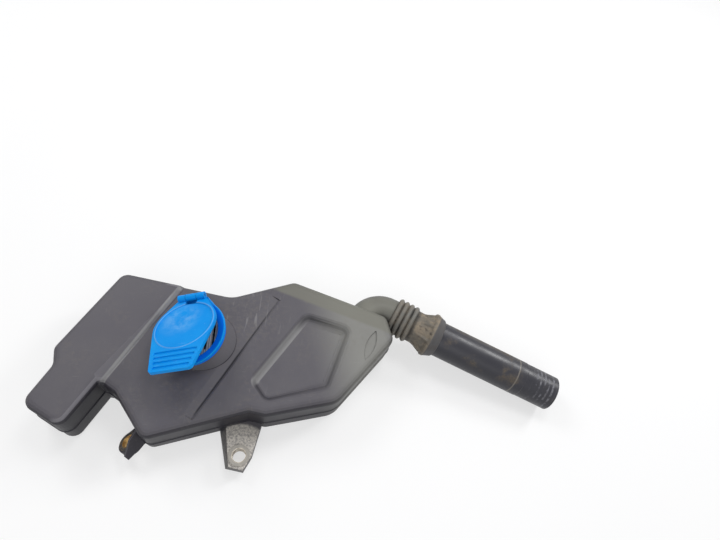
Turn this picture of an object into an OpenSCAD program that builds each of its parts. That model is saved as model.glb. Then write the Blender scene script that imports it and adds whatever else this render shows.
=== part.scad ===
// Blow-moulded washer fluid reservoir with a leaning filler neck, a flip cap,
// two bolt lugs, and an outlet elbow that ends in a flexible bellows and a pipe.
// Z is up and the origin lies on the base plane below the middle of the tank.

/* [Tank] */
// Height of the main deck above the base plane
deck_h = 58; // [46:1:80]
// Height of the left plateau above the main deck
plateau_rise = 3.5; // [1:0.5:8]
// Width of the sloping step between the plateau and the main deck
step_w = 4.5; // [2:0.5:9]
// Wall thickness of the moulding
wall = 2.6; // [1.6:0.1:3.4]
// Radius of the upper edges
edge_r = 7; // [5:0.5:8.5]
// Radius of the lower edges
base_r = 6; // [4.5:0.5:8]
// Height of the mould seam above the base plane
seam_z = 27; // [20:1:30]
// How far the mould seam stands out of the wall
seam_w = 0.9; // [0.4:0.1:1.6]
// Fall of the rear slope for each millimetre behind its crease
rear_fall = 0.5; // [0.2:0.05:0.6]
// Height of the raised underside along the front wall
front_lift = 13; // [6:1:17]
// Distance from the front corner back to where the underside starts to rise
front_run = 62; // [40:1:80]

/* [Outline] */
// Rear left corner
rear_left = [-82, 78.5]; // [-240:0.5:240]
// Shoulder half way down the left side
left_shoulder = [-130, -8]; // [-240:0.5:240]
// Waist below the shoulder
left_waist = [-126.5, -25]; // [-240:0.5:240]
// Outer corner of the left lobe
lobe_outer = [-145, -63]; // [-240:0.5:240]
// Front corner of the left lobe
lobe_front = [-106, -85]; // [-240:0.5:240]
// Bottom of the notch between the lobe and the main body
notch = [-82, -41]; // [-240:0.5:240]
// Bend beside the notch
notch_bend = [-66, -49]; // [-240:0.5:240]
// Front left corner of the main body
front_left = [-33, -92]; // [-240:0.5:240]
// Inner corner of the jog in the front wall
jog_inner = [62, -63]; // [-240:0.5:240]
// Outer corner of the jog in the front wall
jog_outer = [79, -66]; // [-240:0.5:240]
// Front right corner
front_right = [150, -50]; // [-240:0.5:240]
// Right corner
right_tip = [211, 22]; // [-240:0.5:240]
// Rear right corner
rear_right = [203, 49]; // [-240:0.5:240]
// Corner where the rear slope starts
rear_peak = [99, 84]; // [-240:0.5:240]
// Bottom of the shallow dip in the rear wall
rear_dip = [33, 60]; // [-240:0.5:240]
// Radius of the outline's common corners
corner_r = 10.5; // [10.5:0.5:12]
// Radius of the wide front right corner
front_right_r = 24; // [12:1:30]
// Radius of the dip in the rear wall
dip_r = 30; // [10:1:40]

/* [Deck details] */
// Depth of the sunk panel
panel_depth = 7; // [3:0.5:12]
// Rear left corner of the sunk panel
panel_rear_left = [112, 47]; // [-240:0.5:240]
// Rear right corner of the sunk panel
panel_rear_right = [167, 33]; // [-240:0.5:240]
// Front right corner of the sunk panel
panel_front_right = [143, -38]; // [-240:0.5:240]
// Front left corner of the sunk panel
panel_front_left = [76, -54]; // [-240:0.5:240]
// Left corner of the sunk panel
panel_left = [59, -31]; // [-240:0.5:240]
// Width of the panel's steep sides
panel_steep = 11; // [5:0.5:12]
// Width of the panel's gentle right side
panel_gentle = 15; // [8:0.5:20]
// Rear end of the creased line across the deck
crease_rear = [83, 59.5]; // [-240:0.5:240]
// Front end of the creased line across the deck
crease_front = [9, -72]; // [-240:0.5:240]
// Width of the creased line's steep side
crease_w = 2.6; // [1:0.2:4]
// Width of the creased line's gentle side
crease_run = 9; // [4:0.5:12]
// Depth of the creased line
crease_depth = 1.4; // [0.4:0.1:1.4]
// Centre of the leaf-shaped flat beside the panel
leaf_at = [184, 13]; // [-240:0.5:240]
// Length of the leaf-shaped flat
leaf_len = 36; // [20:1:50]
// Width of the leaf-shaped flat
leaf_w = 10; // [5:0.5:16]
// Depth of the leaf-shaped flat
leaf_depth = 1.2; // [0.4:0.1:1.4]

/* [Filler neck] */
// Foot of the neck's axis on the deck
neck_at = [9.2, 7.6]; // [-240:0.2:240]
// Lean of the neck towards the left
neck_lean = 20.5; // [0:0.5:21]
// Length of the neck's axis from the deck to the cap's rim
neck_len = 23.4; // [23:0.2:40]
// Outer radius of the neck
neck_r = 30; // [29:0.5:30.5]
// Extra radius of the flared foot
neck_flare = 2; // [1:0.5:6]

/* [Cap] */
// Radius of the cap base's rim
rim_r = 34.4; // [33.5:0.1:36]
// Radius of the filling mouth
mouth_r = 26.4; // [26.2:0.1:27]
// Thickness of the cap base's plate at its rim
rim_t = 4.5; // [4:0.1:5]
// Fall of the plate towards the mouth
rim_fall = 2.5; // [1.5:0.1:2.8]
// Depth of the skirt around the neck
skirt_h = 4; // [2:0.5:4.5]
// Thickness of the skirt
skirt_t = 2; // [1.2:0.1:2.5]
// Gap between the skirt and the neck
skirt_gap = 0.05; // [0.02:0.01:0.3]
// Turn of the hinge about the neck's axis
hinge_yaw = 4.5; // [-20:0.5:20]
// Distance from the neck's axis back to the hinge
hinge_reach = 36; // [36:0.5:40]
// Height of the hinge axis above the rim
hinge_rise = 5.3; // [5:0.1:7]
// Radius of the hinge barrel
barrel_r = 3.7; // [3.2:0.1:4]
// Length of the hinge barrel
barrel_len = 28; // [22:0.5:30]
// Length of the middle knuckle on the cap base
knuckle_len = 11; // [8:0.5:14]
// Radius of the hinge pin
pin_r = 1.6; // [1.2:0.05:1.8]
// Radial clearance of the pin in the lid's knuckles
pin_gap = 0.06; // [0.02:0.01:0.1]
// Side clearance between the knuckles
knuckle_gap = 0.4; // [0.3:0.1:1]

/* [Lid] */
// Angle by which the lid stands open
lid_ajar = 20; // [0:1:60]
// Thickness of the lid's plate
lid_t = 3.2; // [2.6:0.1:4]
// Gap under the closed lid
lid_gap = 0.5; // [0.3:0.1:1]
// Distance from the hinge to the end of the tab
lid_len = 91.5; // [86:0.5:105]
// Radius of the lid around its disc
lid_r = 31.6; // [31:0.1:33]
// Half width of the tab's end
tab_half_w = 20.5; // [14:0.5:24]
// Radius of the sunk disc in the lid
disc_r = 28.6; // [20:0.2:29]
// Depth of the sunk disc
disc_depth = 0.6; // [0.2:0.1:1.2]
// Width of the raised ring around the disc
ring_w = 1.3; // [0.8:0.1:1.6]
// Height of the raised ring around the disc
ring_h = 0.5; // [0.2:0.1:1]
// Count of grip grooves on the tab
groove_count = 4; // [2:1:4]
// Distance from the last grip groove to the end of the tab
groove_end = 4.6; // [4:0.1:7]
// Spacing of the grip grooves
groove_pitch = 5.8; // [4.6:0.1:6]
// Depth of the grip grooves
groove_depth = 1.2; // [0.5:0.1:1.6]
// Width of the grip grooves
groove_w = 3.6; // [2:0.1:4]
// Depth of the plug below the lid
plug_h = 7; // [6:0.5:8]
// Wall of the plug
plug_t = 1.8; // [1.2:0.1:2.5]
// Gap between the sealing ring and the strainer
plug_gap = 0.9; // [0.8:0.1:1.6]
// Width of the sealing ring around the plug
seal_w = 2.2; // [1.4:0.1:3]
// Height of the sealing ring
seal_h = 6.5; // [3:0.5:7]
// Count of the fine ribs around the sealing ring
seal_ribs = 90; // [40:1:120]
// Height of those ribs
seal_rib_h = 0.5; // [0.2:0.1:0.8]
// Gap between the sealing ring and the plug
seal_gap = 0.05; // [0.02:0.01:0.2]

/* [Strainer] */
// Thickness of the strainer's flange
flange_t = 1.5; // [1:0.1:2.2]
// Wall of the strainer basket
basket_t = 1.2; // [0.8:0.1:1.4]
// Depth of the strainer basket below its flange
basket_h = 11; // [8:0.5:11.5]
// Gap between the strainer and the neck
basket_gap = 0.5; // [0.4:0.1:0.8]
// Count of slots around the strainer
slot_count = 20; // [8:1:24]
// Width of a strainer slot
slot_w = 2.6; // [1.4:0.1:3]

/* [Lugs and sleeves] */
// Bolt axis of the front lug
front_bolt = [55.5, -97.5]; // [-240:0.5:240]
// Height of the front lug's face
lug_top = 19; // [16:0.5:22]
// Height of the front lug's underside
lug_base = 5; // [2:0.5:8]
// Rear left corner of the front lug's face, from its bolt
face_rear_left = [-16, 28]; // [-45:0.5:45]
// Rear right corner of the front lug's face, from its bolt
face_rear_right = [20.8, 36.5]; // [-45:0.5:45]
// Right corner of the front lug's face, from its bolt
face_right = [12.6, 0]; // [-45:0.5:45]
// Tip of the front lug's face, from its bolt
face_tip = [5, -14.4]; // [-45:0.5:45]
// Left corner of the front lug's face, from its bolt
face_left = [-9.5, -11]; // [-45:0.5:45]
// How far the front lug's left flank spreads at its foot
flank_spread = 7; // [2:0.5:10]
// Centre of the left lug's sleeve under its flange
left_bolt = [-51.2, -87.4, 20]; // [-240:0.2:240]
// Lean of the left lug's bolt axis
left_lean = 37; // [28:1:40]
// Direction of that lean, seen from above
left_turn = -33.5; // [-40:0.5:-28]
// Radius of the left lug's end
left_lug_r = 12; // [11:0.5:12.5]
// Thickness of the left lug along its bolt
left_lug_t = 7; // [6:0.5:9]
// Thickness of the left lug's web
web_t = 3; // [2:0.5:5]
// Height of the left lug's web above its face
web_h = 15; // [8:1:18]
// Bore radius of the sleeves
sleeve_bore_r = 6.6; // [5:0.1:7]
// Wall of the sleeves
sleeve_wall = 1.6; // [1:0.1:2.2]
// Radius of the sleeves' flanges
sleeve_flange_r = 10.6; // [9.8:0.1:10.8]
// Thickness of the sleeves' flanges
sleeve_flange_t = 1.4; // [0.8:0.1:2]
// Radial gap between a sleeve and its lug
sleeve_gap = 0.05; // [0.02:0.01:0.2]

/* [Outlet] */
// End of the elbow's bend
elbow_end = [210.6, 61.2, 37]; // [-240:0.2:240]
// Radius of the elbow's bend
bend_r = 24; // [22:0.5:28]
// Angle of the elbow's bend
bend_angle = 96; // [80:1:105]
// Outer radius of the elbow's tube
tube_r = 17; // [14:0.5:17]
// Wall of the elbow's tube
tube_wall = 2.4; // [1.6:0.1:3]
// Length of the spigot past the bend
spigot_len = 9; // [6:0.5:9]
// Direction of the bellows seen from above
bellows_az = -27.3; // [-40:0.1:-20]
// Length of the bellows up to the pipe's end
bellows_len = 46; // [44:0.5:60]
// Distance from the bend to the bellows, which clears the tank's corner
bellows_from = 3.5; // [3.4:0.1:4]
// Count of convolutions
fold_count = 4; // [2:1:4]
// Pitch of the convolutions
fold_pitch = 6.4; // [5:0.1:6.8]
// Radius of the convolutions' crests
crest_r = 21.7; // [21.7:0.1:23]
// Depth of the convolutions
fold_depth = 3; // [1.5:0.1:3]
// Wall of the bellows
bellows_wall = 1.5; // [1.1:0.1:1.5]
// Gap between the bellows and the spigot
spigot_gap = 0.1; // [0.05:0.05:0.15]
// Direction of the pipe seen from above
pipe_az = -21.6; // [-35:0.2:-10]
// Dip of the pipe below the level
pipe_dip = 6; // [0:0.1:6.1]
// Length of the pipe
pipe_len = 162; // [120:1:164]
// Outer radius of the pipe
pipe_r = 20; // [18.6:0.1:20.3]
// Wall of the pipe
pipe_wall = 2.4; // [1.6:0.1:3]
// Length of the slimmer end of the pipe
pipe_end_len = 40; // [20:1:60]
// How much the slimmer end is set in
pipe_end_step = 0.4; // [0.1:0.1:1]
// Length of the cuff over the pipe
cuff_len = 15.5; // [13:0.5:20]
// Radius of the cuff's bead
bead_r = 25.4; // [24.6:0.1:28]
// Distance from the pipe's end to the cuff's bead
bead_at = 4.5; // [3:0.5:6]
// Width of the cuff's bead
bead_w = 2; // [1:0.5:4]
// Thickness of the cuff's lip
lip_t = 1.7; // [1.2:0.1:3]
// Gap between the cuff and the pipe
cuff_gap = 0.1; // [0.05:0.05:0.3]

/* [Hidden] */
$fn = 64;

// Cuts run this far past the faces that they open
over = 1;
// Points on each rounded corner of an outline and on each rounded edge
arc_count = 6;
edge_count = 4;

black = "#2b2b30";
bright_blue = "#1e9bee";
deep_blue = "#0a4fe0";

// Outline helpers. An outline is a list of [corner, radius] that runs anticlockwise.
function unit(v) = v / norm(v);
function inward(a, b) = let (d = unit(b - a)) [-d[1], d[0]];
function turn_between(a, b) = let (d = b - a) d > 180 ? d - 360 : d < -180 ? d + 360 : d;
function heading(v) = atan2(v[1], v[0]);

// Points of one corner, each with the direction in which it moves when the outline is set in
function corner_points(before, corner, after, r) =
    let (n1 = inward(before, corner), n2 = inward(corner, after),
         miter = (n1 + n2) / (1 + n1 * n2))
    r == 0 ? [[corner, miter]] :
    let (bend = turn_between(heading(n1), heading(n2)),
         side = bend > 0 ? 1 : -1,
         centre = corner + side * r * miter)
    [for (k = [0:arc_count])
        let (a = heading(n1) + bend * k / arc_count, n = [cos(a), sin(a)])
        [centre - side * r * n, n]];

function outline_points(corners) =
    let (n = len(corners))
    [for (i = [0:n - 1])
        each corner_points(corners[(i + n - 1) % n][0], corners[i][0],
                           corners[(i + 1) % n][0], corners[i][1])];

function set_in(points, d) = [for (p = points) p[0] + d * p[1]];

// How many points the corners from the first up to, but not with, corner k take
function points_before(corners, k) =
    len([for (i = [0:1:k - 1], j = [0:corners[i][1] == 0 ? 0 : arc_count]) j]);

// Side faces between rings of n points each
function ring_sides(n, rings) =
    [for (k = [0:rings - 2], i = [0:n - 1])
        let (j = (i + 1) % n, a = k * n, b = a + n)
        each [[a + i, b + i, b + j], [a + i, b + j, a + j]]];

function index_run(from, to) = [for (i = [from:to]) i];
function flipped(list) = [for (i = [len(list) - 1:-1:0]) list[i]];
function on_line(a, b, t) = a + t * (b - a);

// Tank outline. The plateau's corners come first, then the main deck's, then the rear slope's.
rear_edge = unit(rear_dip - rear_left);
step_share = 0.52;
slope_right_share = 0.4;
slope_left_share = 0.55;
step_rear = on_line(rear_left, rear_dip, step_share);
step_across = rear_edge * step_w;
slope_right = on_line(right_tip, rear_right, slope_right_share);
slope_left = on_line(rear_peak, rear_dip, slope_left_share);
tank_outline = [
    [step_rear, 0], [rear_left, corner_r], [left_shoulder, corner_r], [left_waist, corner_r],
    [lobe_outer, corner_r], [lobe_front, corner_r], [notch, 0],
    [notch + step_across, 0], [notch_bend, corner_r], [front_left, corner_r],
    [jog_inner, corner_r / 2], [jog_outer, corner_r], [front_right, front_right_r],
    [right_tip, corner_r], [slope_right, 0], [rear_right, corner_r], [rear_peak, corner_r],
    [slope_left, 0], [rear_dip, dip_r], [step_rear + step_across, 0]];
plateau_corner_count = 7;
slope_start_count = 14;
slope_end_count = 17;

tank_points = outline_points(tank_outline);
plateau_end = points_before(tank_outline, plateau_corner_count) - 1;
slope_start = points_before(tank_outline, slope_start_count);
slope_end = points_before(tank_outline, slope_end_count);
point_count = len(tank_points);

// Flat faces fan out from hubs that see all of their rim
plateau_hub = (left_waist + notch + rear_left + step_rear) / 4;
deck_hub = (front_right + notch_bend + rear_peak + jog_inner) / 4;
plateau_run = index_run(0, plateau_end);
deck_run = index_run(plateau_end + 1, point_count - 1);
level_run = concat(index_run(plateau_end + 1, slope_start), index_run(slope_end, point_count - 1));
slope_run = index_run(slope_start + 1, slope_end - 1);
step_faces = [[0, plateau_end, plateau_end + 1], [0, plateau_end + 1, point_count - 1]];
slope_faces = [for (i = slope_run) [slope_start, i, i + 1]];
function fan(run, hub) = [for (k = [0:len(run) - 1]) [run[k], run[(k + 1) % len(run)], hub]];

// Height of the deck at a point of its rim, where the slope falls away behind its crease
function fall_behind(p, a, b) = max(0, rear_fall * ((p - a) * -inward(a, b)));
function deck_height(i, rim, top) =
    i <= plateau_end ? top + plateau_rise :
    i > slope_start && i < slope_end ? top - fall_behind(rim[i], rim[slope_end], rim[slope_start]) :
    top;

// One closed skin of the tank: set in by d all round, with its own edge radii
module tank_skin(d, floor_z, top, lower_r, upper_r, seam) {
    rim = set_in(tank_points, d + upper_r);
    heights = [for (i = [0:point_count - 1]) deck_height(i, rim, top)];
    lower = [for (k = [0:edge_count]) let (a = 90 * k / edge_count)
        [lower_r * (1 - sin(a)), floor_z + lower_r * (1 - cos(a))]];
    middle = seam > 0 ? [[0, seam_z - 2 * seam], [-seam, seam_z], [0, seam_z + 2 * seam]] : [];
    upper = [for (k = [0:edge_count]) let (a = 90 * k / edge_count)
        [upper_r * (1 - cos(a)), upper_r * (1 - sin(a))]];
    flat_rings = concat(lower, middle);
    points = concat(
        [for (ring = flat_rings) each [for (p = set_in(tank_points, d + ring[0])) [p[0], p[1], ring[1]]]],
        [for (ring = upper) let (xy = set_in(tank_points, d + ring[0]))
            each [for (i = [0:point_count - 1]) [xy[i][0], xy[i][1], heights[i] - ring[1]]]],
        [[plateau_hub[0], plateau_hub[1], floor_z], [deck_hub[0], deck_hub[1], floor_z],
         [plateau_hub[0], plateau_hub[1], top + plateau_rise], [deck_hub[0], deck_hub[1], top]]);
    rings = len(flat_rings) + len(upper);
    last = (rings - 1) * point_count;
    hubs = rings * point_count;
    upper_faces = concat(fan(plateau_run, hubs + 2 - last), fan(level_run, hubs + 3 - last),
                         step_faces, slope_faces);
    polyhedron(points, concat(
        fan(plateau_run, hubs), fan(deck_run, hubs + 1), step_faces,
        ring_sides(point_count, rings),
        [for (f = upper_faces) [for (i = flipped(f)) i + last]]));
}

// Sunk panel as a solid to cut away: its sides bend over into the deck and into the floor
panel_r = 12;
panel_corners = [panel_rear_left, panel_left, panel_front_left, panel_front_right, panel_rear_right];
panel_points = outline_points([for (c = panel_corners) [c, panel_r]]);
panel_gentle_from = 3 * (arc_count + 1);
function panel_side(i) = i >= panel_gentle_from ? panel_gentle : panel_steep;
panel_profile = [[-0.12, -0.12], [0.02, 0.03], [0.14, 0.12], [0.3, 0.36], [0.46, 0.68], [0.62, 0.88],
                 [0.8, 0.97], [1, 1]];

module sunk_panel(grow, top) {
    n = len(panel_points);
    points = [for (s = panel_profile) each [for (i = [0:n - 1])
        let (p = panel_points[i], q = p[0] + (min(s[0] * panel_side(i), panel_r - 1) - grow) * p[1])
        [q[0], q[1], top - s[1] * panel_depth]]];
    rings = len(panel_profile);
    sides = [for (f = ring_sides(n, rings)) flipped(f)];
    polyhedron(points, concat(
        [flipped(index_run(0, n - 1))], sides, [[for (i = index_run(0, n - 1)) i + (rings - 1) * n]]));
}

// Creased line across the deck as a solid to cut away
module crease_cut() {
    run = crease_front - crease_rear;
    translate([crease_rear[0], crease_rear[1], deck_h])
        rotate([90, 0, heading(run) + 90])
            linear_extrude(norm(run))
                polygon([[-crease_run, over], [-crease_run, 0], [0, -crease_depth],
                         [crease_w, 0], [crease_w, over]]);
}

// Leaf-shaped flat as a solid to cut away
module leaf_cut() {
    arc_r = (leaf_len * leaf_len + leaf_w * leaf_w) / (4 * leaf_w);
    translate([leaf_at[0], leaf_at[1], deck_h - leaf_depth])
        rotate([0, 0, heading(right_tip - front_right) + 20])
            linear_extrude(leaf_depth + over)
                intersection_for (side = [-1, 1])
                    translate([0, side * (arc_r - leaf_w / 2)]) circle(arc_r, $fn = 128);
}

// Wedge below the front wall, moved up inside the tank by the wall's thickness
module front_wedge(grow) {
    front_y = front_left[1] - over;
    left_x = notch[0] + step_w - grow;
    reach = right_tip[0] - left_x + over;
    rise_at = front_y + front_run;
    translate([left_x, 0, grow])
        rotate([90, 0, 90])
            linear_extrude(reach)
                polygon([[front_y - over, -over - grow], [rise_at, -over - grow], [rise_at, 0],
                         [front_y - over, front_lift]]);
}

module at_neck() { translate([neck_at[0], neck_at[1], deck_h]) rotate([0, -neck_lean, 0]) children(); }
module at_rim() { at_neck() translate([0, 0, neck_len]) rotate([0, 0, hinge_yaw]) children(); }
module at_hinge() { at_rim() translate([0, hinge_reach, hinge_rise]) children(); }
module at_lid() { at_hinge() rotate([-lid_ajar, 0, 0]) children(); }
module along_x(len) { rotate([0, 90, 0]) translate([0, 0, -len / 2]) children(); }

// The neck ends below the strainer's flange and the cap base's plate
neck_top = neck_len - rim_t - flange_t;
neck_bore_r = neck_r - wall;
neck_root = neck_r * tan(neck_lean) + wall;

neck_foot_t = 1;

module neck_outside() {
    at_neck() translate([0, 0, -neck_root]) cylinder(h = neck_top + neck_root, r = neck_r);
    hull() {
        translate([neck_at[0], neck_at[1], deck_h - neck_foot_t])
            linear_extrude(neck_foot_t)
                scale([1 / cos(neck_lean), 1]) circle(neck_r + neck_flare, $fn = 48);
        at_neck() translate([0, 0, neck_root])
            cylinder(h = neck_foot_t, r = neck_r - neck_foot_t, $fn = 48);
    }
}

// Elbow frame: X leaves the bend along the bellows
module at_elbow() { translate(elbow_end) rotate([0, 0, bellows_az]) children(); }
module elbow_tube(r, extra) {
    at_elbow() {
        translate([0, -bend_r, 0])
            rotate([0, 0, 90]) rotate_extrude(angle = bend_angle) translate([bend_r, 0]) circle(r);
        rotate([0, 90, 0]) cylinder(h = spigot_len + extra, r = r);
    }
}

// Bolt frames: the origin lies under the sleeve's flange, and Z points out along the bolt
lug_t = lug_top - lug_base;
module at_front_bolt() { translate([front_bolt[0], front_bolt[1], lug_top]) children(); }
module at_left_bolt() {
    translate(left_bolt) rotate([0, 0, left_turn]) rotate([0, -left_lean, 0]) children();
}

// The front lug is a tapered block whose left flank spreads towards its foot
lug_root = [0, 8];
lug_skin = 0.5;
front_face = [face_rear_left, face_rear_left + lug_root, face_rear_right + lug_root, face_rear_right,
              face_right, face_tip, face_left];
front_foot = [face_rear_left - [flank_spread, 0], face_rear_left + lug_root, face_rear_right + lug_root,
              face_rear_right, face_right, face_tip, face_left - [flank_spread / 2, 0]];

module front_lug() {
    at_front_bolt()
        hull() {
            translate([0, 0, -lug_skin]) linear_extrude(lug_skin) polygon(front_face);
            translate([0, 0, -lug_t]) linear_extrude(lug_skin) polygon(front_foot);
        }
}

// The left lug leans, and a web stands beside its sleeve and runs into the tank's wall
left_root_from = 10;
left_root_w = 12;
web_gap = 0.4;
web_x = sleeve_flange_r + web_gap;
web_from = -left_lug_r - 1;
web_to = left_root_from + left_root_w;

module left_lug() {
    at_left_bolt() {
        hull() {
            translate([0, 0, -left_lug_t]) cylinder(h = left_lug_t, r = left_lug_r, $fn = 32);
            translate([-left_lug_r / 2, left_root_from, -left_lug_t])
                cube([web_x + left_lug_r / 2, left_root_w, left_lug_t]);
        }
        translate([web_x, 0, 0])
            rotate([90, 0, 90])
                linear_extrude(web_t)
                    polygon([[web_from, -left_lug_t / 2], [web_to, -left_lug_t], [web_to, web_h],
                             [0, web_h * 0.7], [web_from, web_h * 0.1]]);
    }
}

module sleeve_hole(depth) {
    translate([0, 0, -depth - over])
        cylinder(h = depth + 2 * over, r = sleeve_bore_r + sleeve_wall + sleeve_gap);
}

module tank_shell() {
    color(black)
        difference() {
            union() {
                difference() {
                    tank_skin(0, 0, deck_h, base_r, edge_r, seam_w);
                    sunk_panel(0, deck_h);
                    crease_cut();
                    leaf_cut();
                    front_wedge(0);
                }
                neck_outside();
                elbow_tube(tube_r, 0);
                front_lug();
                left_lug();
            }
            difference() {
                tank_skin(wall, wall, deck_h - wall, base_r - wall, edge_r - wall, 0);
                sunk_panel(wall, deck_h - wall);
                front_wedge(wall);
            }
            at_neck()
                translate([0, 0, -neck_root]) cylinder(h = neck_top + neck_root + over, r = neck_bore_r);
            elbow_tube(tube_r - tube_wall, over);
            at_front_bolt() sleeve_hole(lug_t);
            at_left_bolt() sleeve_hole(left_lug_t);
        }
}

module sleeve(depth) {
    outer_r = sleeve_bore_r + sleeve_wall;
    rotate_extrude()
        polygon([[sleeve_bore_r, -depth], [outer_r, -depth], [outer_r, 0], [sleeve_flange_r, 0],
                 [sleeve_flange_r, sleeve_flange_t], [sleeve_bore_r, sleeve_flange_t]]);
}

module front_sleeve() { color("#b9b4a4") at_front_bolt() sleeve(lug_t); }
module left_sleeve() { color("#c39a4a") at_left_bolt() sleeve(left_lug_t); }

// The strainer hangs by its flange between the neck and the cap base
module filler_strainer() {
    basket_r = neck_bore_r - basket_gap;
    inner_r = basket_r - basket_t;
    slot_h = basket_h - 4 * basket_t;
    color("#5a5a5e")
        at_neck() translate([0, 0, neck_top])
            difference() {
                rotate_extrude()
                    polygon([[0, -basket_h], [basket_r, -basket_h], [basket_r, 0], [neck_r - basket_gap, 0],
                             [neck_r - basket_gap, flange_t], [inner_r, flange_t],
                             [inner_r, basket_t - basket_h], [0, basket_t - basket_h]]);
                for (i = [0:slot_count - 1])
                    rotate([0, 0, 360 * i / slot_count])
                        translate([inner_r - over, -slot_w / 2, 2 * basket_t - basket_h])
                            cube([basket_t + 2 * over, slot_w, slot_h]);
                for (i = [-2:2])
                    translate([i * 3 * slot_w - slot_w / 2, -inner_r / 2, -basket_h - over])
                        cube([slot_w, inner_r, basket_t + 2 * over]);
            }
}

// The cap base carries the middle knuckle on a tail that leaves its rim on both sides
rim_bevel = 0.4;
rim_land = 1.2;
tail_past = 1;
tail_corner = [barrel_len / 2, hinge_reach + tail_past];
tail_turn = heading(tail_corner) - acos(rim_r / norm(tail_corner));
knuckle_root = 3;

module cap_base() {
    skirt_r = neck_r + skirt_gap;
    tail_x = (rim_r - rim_land / 2) * cos(tail_turn);
    tail_y = (rim_r - rim_land / 2) * sin(tail_turn);
    color(deep_blue)
        at_rim() {
            rotate_extrude()
                polygon([[mouth_r, -rim_t], [skirt_r, -rim_t], [skirt_r, -rim_t - skirt_h],
                         [skirt_r + skirt_t, -rim_t - skirt_h], [skirt_r + skirt_t, -rim_t],
                         [rim_r, -rim_t / 2], [rim_r, -rim_bevel], [rim_r - rim_bevel, 0],
                         [rim_r - rim_land, 0], [mouth_r, -rim_fall]]);
            difference() {
                translate([0, 0, -rim_t])
                    linear_extrude(rim_t)
                        polygon([[-tail_x, tail_y], [tail_x, tail_y],
                                 tail_corner, [-tail_corner[0], tail_corner[1]]]);
                translate([0, 0, -rim_t - over]) cylinder(h = rim_t + 2 * over, r = rim_r - rim_land);
            }
            difference() {
                union() {
                    translate([0, hinge_reach, hinge_rise])
                        along_x(knuckle_len) cylinder(h = knuckle_len, r = barrel_r);
                    translate([-knuckle_len / 2, 0, 0])
                        rotate([90, 0, 90])
                            linear_extrude(knuckle_len)
                                polygon([[tail_corner[1] - knuckle_root, -rim_t], [tail_corner[1], -rim_t],
                                         [hinge_reach + barrel_r * 0.8, hinge_rise - barrel_r * 0.6],
                                         [hinge_reach - barrel_r * 0.8, hinge_rise + barrel_r * 0.6],
                                         [tail_corner[1] - knuckle_root, 0]]);
                }
                translate([0, hinge_reach, hinge_rise])
                    along_x(knuckle_len + 2 * over) cylinder(h = knuckle_len + 2 * over, r = pin_r);
            }
        }
}

// The pin stops short of the barrel's hollow ends
pin_inset = 1.5;
module hinge_pin() {
    pin_len = barrel_len - 2 * pin_inset;
    color("#8a8f96") at_hinge() along_x(pin_len) cylinder(h = pin_len, r = pin_r);
}

// Lid frame: the origin is on the hinge axis, and the lid runs towards -Y
lid_under = lid_gap - hinge_rise;
lid_top = lid_under + lid_t;
lid_slot_half = knuckle_len / 2 + knuckle_gap;
lid_slot_front = 4;
lid_mid = [0, -hinge_reach];
tab_corner_r = 4;
groove_inset = 4;
groove_wall = 0.5;
groove_floor = 0.8;
ring_ledge = 0.2;
plug_r = neck_bore_r - basket_gap - basket_t - plug_gap - seal_w;

// Right side of the lid from the tab up to the barrel: an arc around the disc between two tangents
barrel_corner = [barrel_len / 2, 0];
tab_corner = [tab_half_w, -lid_len];
function touch(corner, side) =
    heading(corner - lid_mid) + side * acos(lid_r / norm(corner - lid_mid));
lid_arc = [for (k = [0:2 * arc_count])
    let (a = on_line(touch(tab_corner, 1), touch(barrel_corner, -1), k / (2 * arc_count)))
    lid_mid + lid_r * [cos(a), sin(a)]];
tab_round = corner_points([-tab_half_w, -lid_len], tab_corner, lid_arc[0], tab_corner_r);
lid_right = concat(set_in(tab_round, 0), lid_arc, [barrel_corner]);
lid_outline = concat(lid_right, [for (p = flipped(lid_right)) [-p[0], p[1]]]);
function groove_half(y) =
    on_line(lid_arc[0][0], tab_half_w, (y + lid_arc[0][1]) / (lid_len + lid_arc[0][1])) - groove_inset;

module grip_groove(y) {
    half = groove_half(y);
    translate([-half, -y, lid_top])
        rotate([90, 0, 90])
            linear_extrude(2 * half)
                polygon([[groove_w / 2, over], [groove_w / 2 - groove_wall, -groove_depth],
                         [groove_w / 2 - groove_wall - groove_floor, -groove_depth],
                         [-groove_w / 2, 0], [-groove_w / 2, over]]);
}

module cap_lid() {
    color(bright_blue)
        at_lid()
            difference() {
                union() {
                    translate([0, 0, lid_under]) linear_extrude(lid_t) polygon(lid_outline);
                    along_x(barrel_len) cylinder(h = barrel_len, r = barrel_r);
                    translate([0, -hinge_reach, lid_top])
                        rotate_extrude($fn = 96)
                            polygon([[disc_r + ring_ledge, -disc_depth], [disc_r + ring_w, -disc_depth],
                                     [disc_r + ring_w, 0], [disc_r + ring_w * 0.7, ring_h],
                                     [disc_r + ring_w * 0.4, ring_h], [disc_r + ring_ledge, 0]]);
                    translate([0, -hinge_reach, lid_under - plug_h])
                        difference() {
                            cylinder(h = plug_h + over, r = plug_r);
                            translate([0, 0, -over]) cylinder(h = plug_h + over, r = plug_r - plug_t);
                        }
                }
                translate([0, -hinge_reach, lid_top - disc_depth])
                    cylinder(h = disc_depth + over, r = disc_r, $fn = 96);
                for (i = [0:groove_count - 1])
                    grip_groove(lid_len - groove_end - i * groove_pitch);
                translate([-lid_slot_half, -barrel_r - lid_slot_front, -barrel_r - lid_t - over])
                    cube([2 * lid_slot_half, 2 * barrel_r + lid_slot_front + over,
                          2 * (barrel_r + lid_t + over)]);
                along_x(barrel_len + 2 * over) cylinder(h = barrel_len + 2 * over, r = pin_r + pin_gap);
            }
}

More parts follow.
